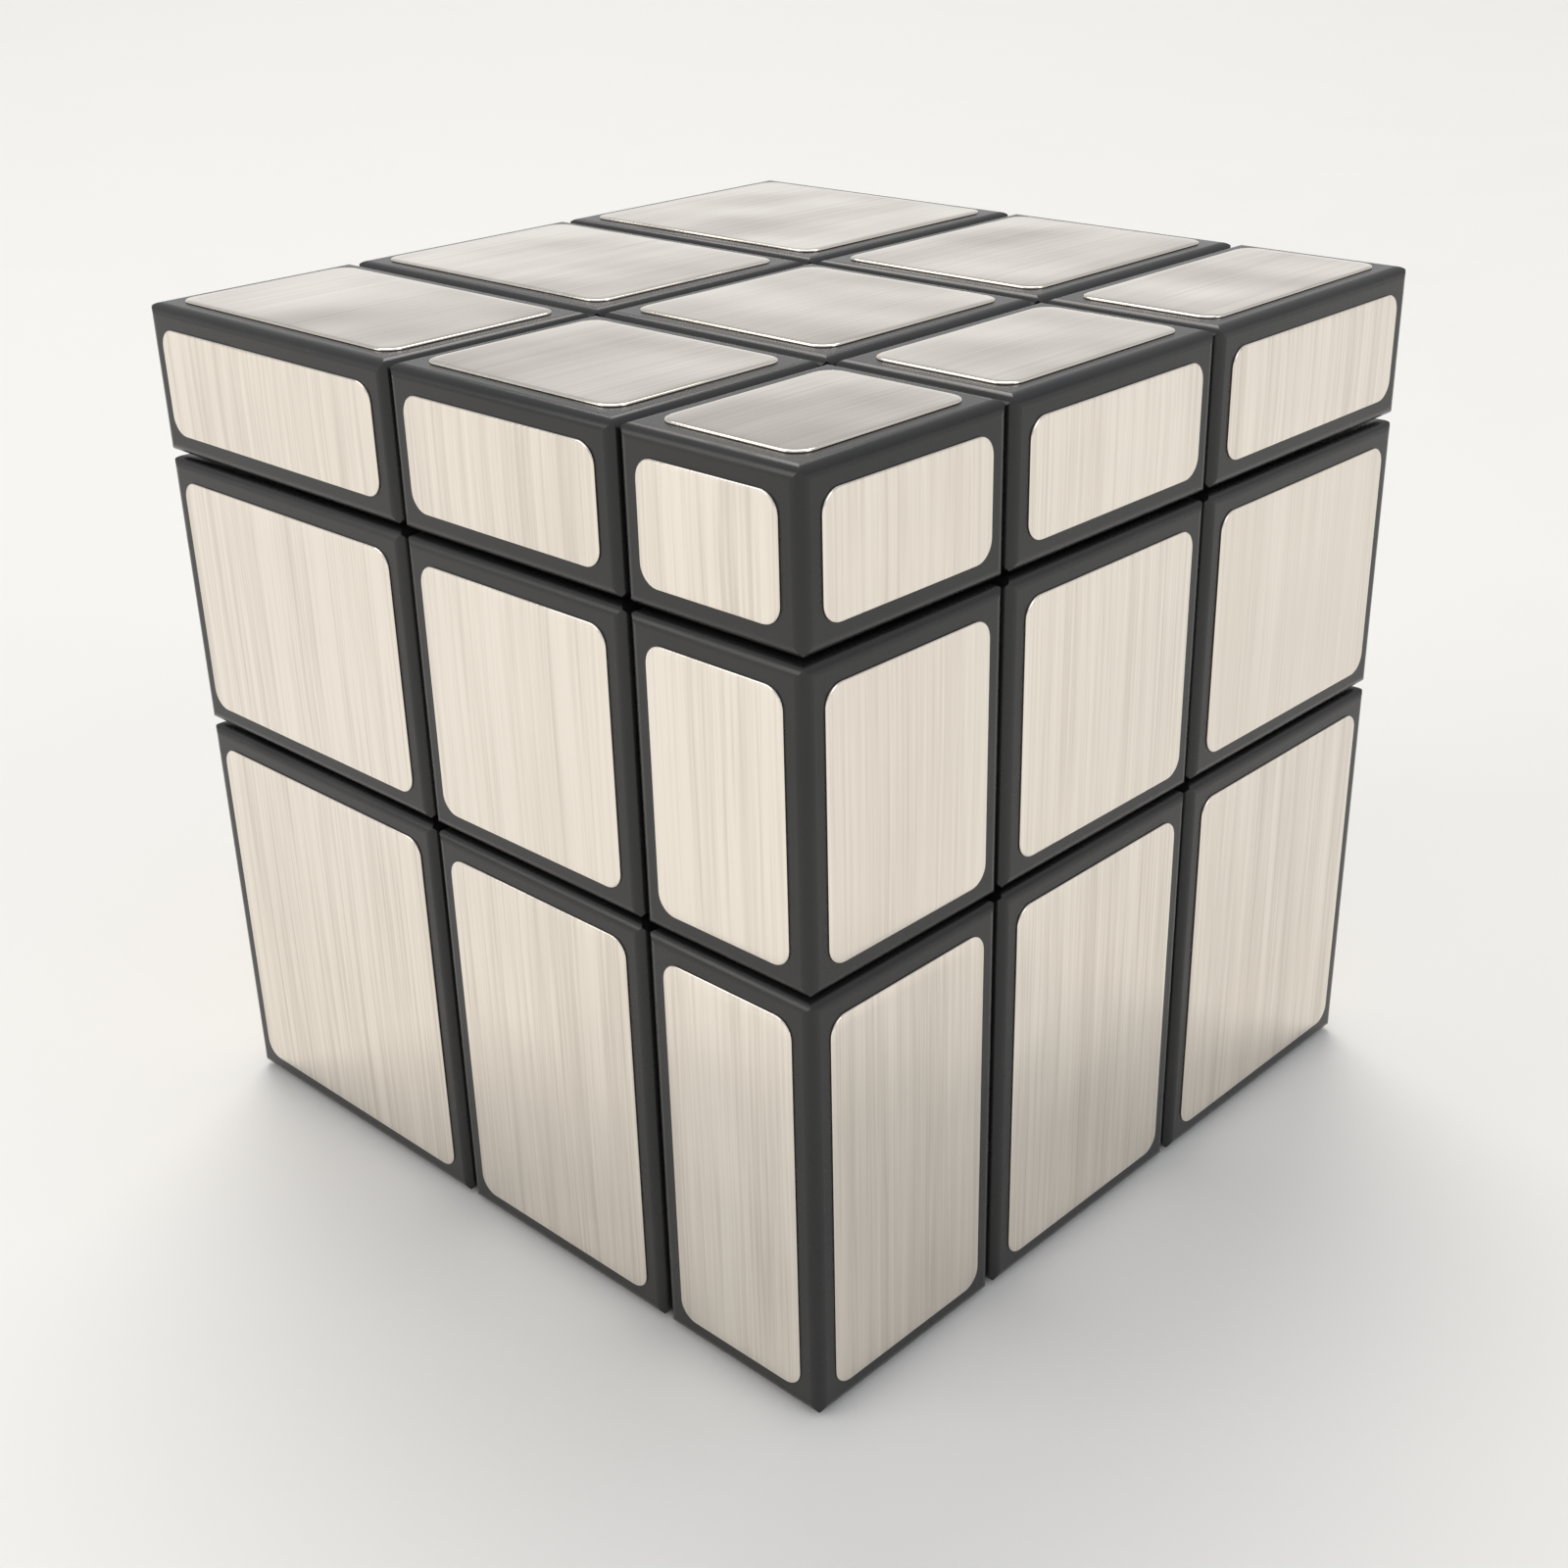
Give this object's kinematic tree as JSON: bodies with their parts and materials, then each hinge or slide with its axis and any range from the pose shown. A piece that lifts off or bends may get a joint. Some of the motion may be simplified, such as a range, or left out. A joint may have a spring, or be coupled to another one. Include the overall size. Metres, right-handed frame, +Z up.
{
  "type": "mirror block cube",
  "caption": "Twisty puzzle cube whose black plastic blocks have different sizes and carry silver mirror film, with layers that turn on a sprung core.",
  "frame": {"origin": "middle of the face that the cube stands on, which is the outer side of the thickest layer", "axes": "+Z up, from the thickest layer to the thinnest; +X towards the right face, whose layer is the thinner one; -Y towards the front face"},
  "size_m": [0.057, 0.057, 0.057],
  "materials": {
    "black_plastic": "gloss, moulded",
    "foot_plastic": "satin, moulded",
    "mirror_film": "silver film with a fine brushed grain",
    "core_plastic": "satin",
    "steel": "zinc plated",
    "brass": "satin"
  },
  "bodies": {
    "middle": {"core": "core_plastic", "core_screws": "steel", "edge_front_left": "black_plastic", "edge_front_right": "black_plastic", "edge_back_left": "black_plastic", "edge_back_right": "black_plastic", "films_middle_edges": "mirror_film", "spring_top": "steel", "spring_bottom": "steel", "spring_front": "steel", "spring_back": "steel", "spring_right": "steel", "spring_left": "steel", "edge_feet_middle": "foot_plastic"},
    "top_seat": {"seat_washer_top": "brass"},
    "top_layer": {"centre_top": "black_plastic", "cap_top": "black_plastic", "edge_top_front": "black_plastic", "edge_top_left": "black_plastic", "edge_top_right": "black_plastic", "edge_top_back": "black_plastic", "corner_top_front_left": "black_plastic", "corner_top_front_right": "black_plastic", "corner_top_back_left": "black_plastic", "corner_top_back_right": "black_plastic", "films_top_face": "mirror_film", "films_top_sides": "mirror_film", "edge_feet_top": "foot_plastic", "corner_feet_top": "foot_plastic"},
    "bottom_seat": {"seat_washer_bottom": "brass"},
    "bottom_layer": {"centre_bottom": "black_plastic", "cap_bottom": "black_plastic", "edge_bottom_front": "black_plastic", "edge_bottom_left": "black_plastic", "edge_bottom_right": "black_plastic", "edge_bottom_back": "black_plastic", "corner_bottom_front_left": "black_plastic", "corner_bottom_front_right": "black_plastic", "corner_bottom_back_left": "black_plastic", "corner_bottom_back_right": "black_plastic", "films_bottom_face": "mirror_film", "films_bottom_sides": "mirror_film", "edge_feet_bottom": "foot_plastic", "corner_feet_bottom": "foot_plastic"},
    "front_centre": {"centre_front": "black_plastic", "cap_front": "black_plastic", "seat_washer_front": "brass", "film_front_centre": "mirror_film"},
    "back_centre": {"centre_back": "black_plastic", "cap_back": "black_plastic", "seat_washer_back": "brass", "film_back_centre": "mirror_film"},
    "right_centre": {"centre_right": "black_plastic", "cap_right": "black_plastic", "seat_washer_right": "brass", "film_right_centre": "mirror_film"},
    "left_centre": {"centre_left": "black_plastic", "cap_left": "black_plastic", "seat_washer_left": "brass", "film_left_centre": "mirror_film"}
  },
  "joints": [
    {"name": "layer_turn_top", "type": "hinge", "parent": "top_seat", "child": "top_layer", "pos_m": [0.006, -0.003, 0.0375], "axis": [0, 0, 1], "continuous": true},
    {"name": "layer_turn_bottom", "type": "hinge", "parent": "bottom_seat", "child": "bottom_layer", "pos_m": [0.006, -0.003, 0.0375], "axis": [0, 0, 1], "continuous": true},
    {"name": "spring_pull_top", "type": "slide", "parent": "middle", "child": "top_seat", "axis": [0, 0, 1], "range_m": [0, 0.0005], "stiffness_N_per_m": 1500, "springref_m": -0.0025, "deforming": ["spring_top"]},
    {"name": "spring_pull_bottom", "type": "slide", "parent": "middle", "child": "bottom_seat", "axis": [0, 0, -1], "range_m": [0, 0.0005], "stiffness_N_per_m": 1500, "springref_m": -0.0025, "deforming": ["spring_bottom"]},
    {"name": "spring_pull_front", "type": "slide", "parent": "middle", "child": "front_centre", "axis": [0, -1, 0], "range_m": [0, 0.0005], "stiffness_N_per_m": 1500, "springref_m": -0.0025, "deforming": ["spring_front"]},
    {"name": "spring_pull_back", "type": "slide", "parent": "middle", "child": "back_centre", "axis": [0, 1, 0], "range_m": [0, 0.0005], "stiffness_N_per_m": 1500, "springref_m": -0.0025, "deforming": ["spring_back"]},
    {"name": "spring_pull_right", "type": "slide", "parent": "middle", "child": "right_centre", "axis": [1, 0, 0], "range_m": [0, 0.0005], "stiffness_N_per_m": 1500, "springref_m": -0.0025, "deforming": ["spring_right"]},
    {"name": "spring_pull_left", "type": "slide", "parent": "middle", "child": "left_centre", "axis": [-1, 0, 0], "range_m": [0, 0.0005], "stiffness_N_per_m": 1500, "springref_m": -0.0025, "deforming": ["spring_left"]}
  ]
}
